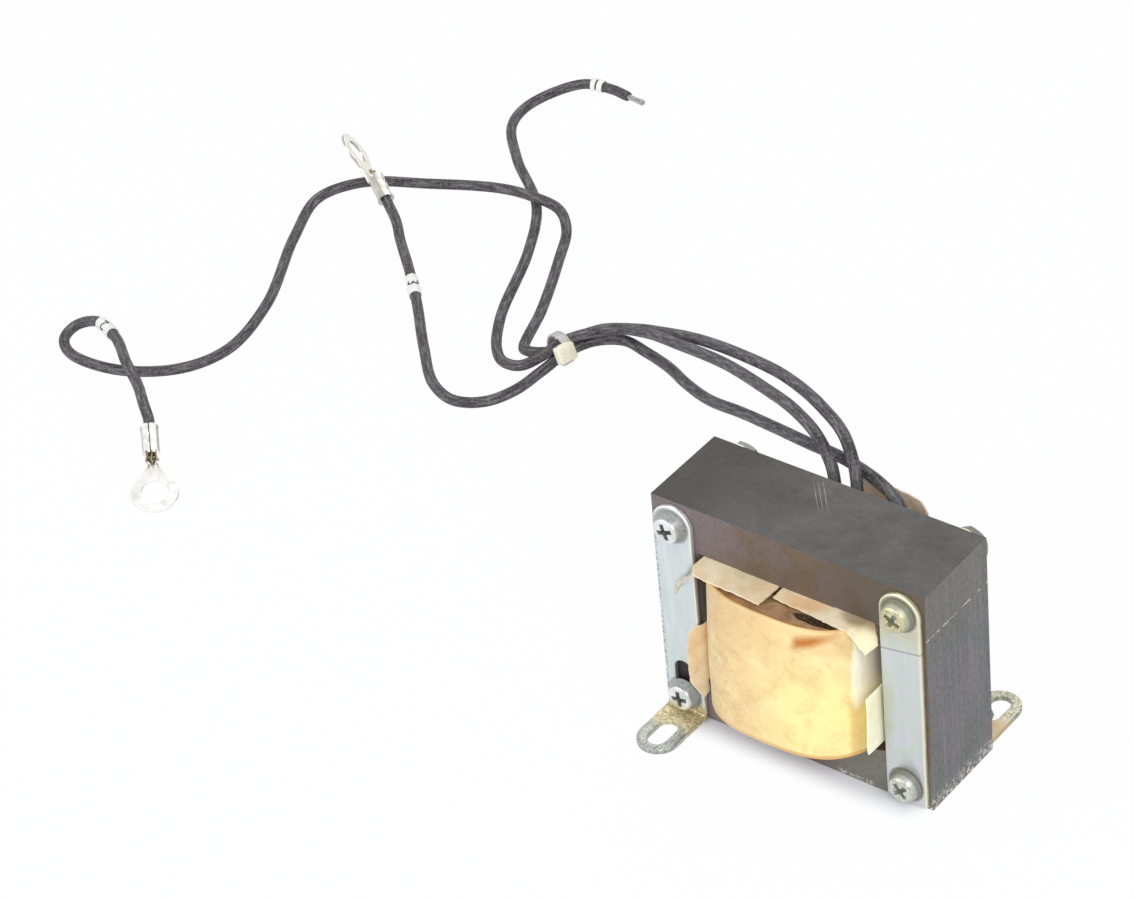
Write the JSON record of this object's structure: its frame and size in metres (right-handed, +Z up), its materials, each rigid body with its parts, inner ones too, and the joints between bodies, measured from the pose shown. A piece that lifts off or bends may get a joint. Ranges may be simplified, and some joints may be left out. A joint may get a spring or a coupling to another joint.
{
  "type": "transformer",
  "caption": "Open-frame laminated transformer with a paper-wrapped coil, slotted foot brackets, clamp straps and loose marked leads with ring terminals.",
  "frame": {"origin": "middle of the core on the mounting plane, under the underside of the feet", "axes": "+X along the width of the laminations to the right seen from the front, +Y to the back through the stack, where the leads leave, +Z up from the mounting plane"},
  "size_m": [0.2683, 0.2045, 0.0578],
  "materials": {
    "core_steel": "dark varnished laminations, satin",
    "gap_paper": "thin pressed paper",
    "coil_paper": "tan paper, mottled with varnish",
    "magnet_wire": "brown varnished copper wire",
    "collar_paper": "cream pressed paper, worn edges",
    "zinc_steel": "zinc plated, slightly dull",
    "fastener_steel": "zinc plated",
    "lead_insulation": "black, matte, scuffed",
    "bare_copper": "tinned strands",
    "tinned_brass": "bright tin",
    "marker_plastic": "ivory sleeve",
    "tie_plastic": "translucent ivory"
  },
  "bodies": {
    "root": {"core_e_stack": "core_steel", "core_i_stack": "core_steel", "gap_paper": "gap_paper", "coil_tube": "coil_paper", "inner_winding": "magnet_wire", "winding_insulation": "coil_paper", "outer_winding": "magnet_wire", "coil_wrap": "coil_paper", "top_collar_left": "collar_paper", "top_collar_right": "collar_paper", "bottom_collar_left": "collar_paper", "bottom_collar_right": "collar_paper", "window_liner_left": "collar_paper", "window_liner_right": "collar_paper", "lead_shield": "coil_paper", "front_left_bracket": "zinc_steel", "front_right_strap": "zinc_steel", "rear_left_strap": "zinc_steel", "rear_right_bracket": "zinc_steel", "clamp_screws": "fastener_steel", "clamp_nuts": "fastener_steel", "lead_1": "lead_insulation", "lead_2": "lead_insulation", "lead_3": "lead_insulation", "bare_conductors": "bare_copper", "ring_terminal_1": "tinned_brass", "ring_terminal_2": "tinned_brass", "marker_sleeve_1": "marker_plastic", "marker_sleeve_2": "marker_plastic", "marker_sleeve_3": "marker_plastic", "cable_tie": "tie_plastic"}
  },
  "joints": []
}
